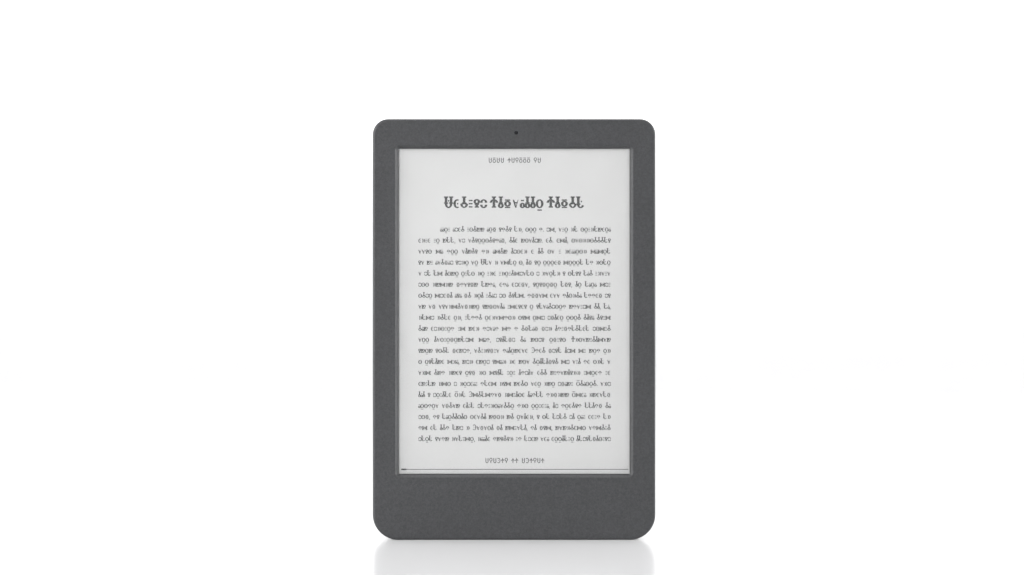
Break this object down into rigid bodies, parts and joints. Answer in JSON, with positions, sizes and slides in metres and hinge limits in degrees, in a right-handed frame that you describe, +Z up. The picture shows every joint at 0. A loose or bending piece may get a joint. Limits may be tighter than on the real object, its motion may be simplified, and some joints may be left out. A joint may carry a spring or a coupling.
{
  "type": "e-reader",
  "caption": "Handheld e-reader: recessed paper-like screen in a two-shell case, with display stack, frame, main board, battery, port and power button inside.",
  "frame": {"origin": "middle of the lower edge, at half the case's thickness, on the surface that the reader stands on", "axes": "+Z up the page, +X to the reader's right when it is read, -Y out of the screen towards the reader"},
  "size_m": [0.1086, 0.008, 0.1616],
  "materials": {
    "case_front": "fine moulded grain, satin",
    "case_rear": "fine moulded grain, matte",
    "frame_metal": "black-coated light alloy",
    "black_tape": "black double-sided foam tape",
    "brass": "turned",
    "screw_steel": "nickel-plated steel",
    "sensor_lens": "smoked, polished",
    "ribbon": "amber polyimide",
    "clear_film": "clear, fine anti-glare",
    "clear_guide": "clear, polished",
    "e_paper": "paper-like, matt",
    "page_ink": "black pigment, matt",
    "panel_glass": "clear, grey-green",
    "chip": "moulded epoxy",
    "white_led": "white body with yellow phosphor",
    "board_green": "solder mask over glass-fibre laminate",
    "shield_tin": "tin-plated sheet",
    "pad_grey": "soft, matt",
    "ferrite": "matt ferrite",
    "ceramic_parts": "matt ceramic with tinned ends",
    "plug_ivory": "moulded, satin",
    "latch_brown": "moulded, satin",
    "gold": "gold-plated",
    "wires": "smooth insulation",
    "cell_foil": "laminated foil pouch",
    "white_tape": "paper-backed adhesive tape",
    "port_steel": "drawn stainless steel",
    "black_plastic": "moulded, satin",
    "button": "moulded, satin",
    "clear_pipe": "clear moulding",
    "black_cable": "smooth jacket"
  },
  "bodies": {
    "reader": {"front_bezel": "case_front", "rear_cover": "case_rear", "bezel_tape": "black_tape", "screen_gasket": "black_tape", "mid_frame": "frame_metal", "brass_inserts": "brass", "frame_screws": "screw_steel", "light_sensor_window": "sensor_lens", "light_sensor": "chip", "sensor_ribbon": "ribbon", "touch_film": "clear_film", "light_guide": "clear_guide", "ink_film": "e_paper", "backplane_glass": "panel_glass", "driver_chips": "chip", "display_foam": "black_tape", "display_ribbon": "ribbon", "touch_ribbon": "ribbon", "frontlight_leds": "white_led", "frontlight_flex": "ribbon", "main_board": "board_green", "board_screws": "screw_steel", "processor_shield": "shield_tin", "processor_chip": "chip", "memory_chip": "chip", "thermal_pad": "pad_grey", "radio_shield": "shield_tin", "radio_chip": "chip", "storage_chip": "chip", "power_chips": "chip", "coils": "ferrite", "small_components": "ceramic_parts", "hall_sensor": "chip", "display_connector": "plug_ivory", "touch_connector": "plug_ivory", "light_connector": "plug_ivory", "sensor_connector": "plug_ivory", "connector_contacts": "gold", "battery_socket": "plug_ivory", "battery_plug": "plug_ivory", "battery_leads": "wires", "battery_circuit": "ribbon", "battery_cell": "cell_foil", "battery_tape": "white_tape", "foam_pads": "black_tape", "usb_shell": "port_steel", "usb_tongue": "black_plastic", "usb_contacts": "gold", "switch_base": "shield_tin", "charge_led": "white_led", "light_pipe": "clear_pipe", "wifi_antenna": "ribbon", "antenna_cable": "black_cable"},
    "power_button": {"power_button": "button"},
    "switch_plunger": {"switch_plunger": "plug_ivory"},
    "display_latch": {"display_latch": "latch_brown"},
    "touch_latch": {"touch_latch": "latch_brown"},
    "light_latch": {"light_latch": "latch_brown"},
    "sensor_latch": {"sensor_latch": "latch_brown"}
  },
  "joints": [
    {"name": "button_press", "type": "slide", "parent": "reader", "child": "power_button", "axis": [0, 0, 1], "range_m": [0, 0.0003], "stiffness_N_per_m": 500, "springref_m": -0.002},
    {"name": "plunger_press", "type": "slide", "parent": "reader", "child": "switch_plunger", "axis": [0, 0, 1], "range_m": [0, 0.0003]},
    {"name": "display_latch_flip", "type": "hinge", "parent": "reader", "child": "display_latch", "pos_m": [-0.023, 0.00048, 0.01925], "axis": [1, 0, 0], "range_deg": [0, 90]},
    {"name": "touch_latch_flip", "type": "hinge", "parent": "reader", "child": "touch_latch", "pos_m": [0.035, 0.00048, 0.01925], "axis": [1, 0, 0], "range_deg": [0, 90]},
    {"name": "light_latch_flip", "type": "hinge", "parent": "reader", "child": "light_latch", "pos_m": [0.022, 0.00048, 0.01925], "axis": [1, 0, 0], "range_deg": [0, 90]},
    {"name": "sensor_latch_flip", "type": "hinge", "parent": "reader", "child": "sensor_latch", "pos_m": [0.0008, 0.00048, 0.04465], "axis": [-1, 0, 0], "range_deg": [0, 90]}
  ],
  "couplings": [
    {"joint": "plunger_press", "follows": "button_press", "ratio": 1}
  ]
}
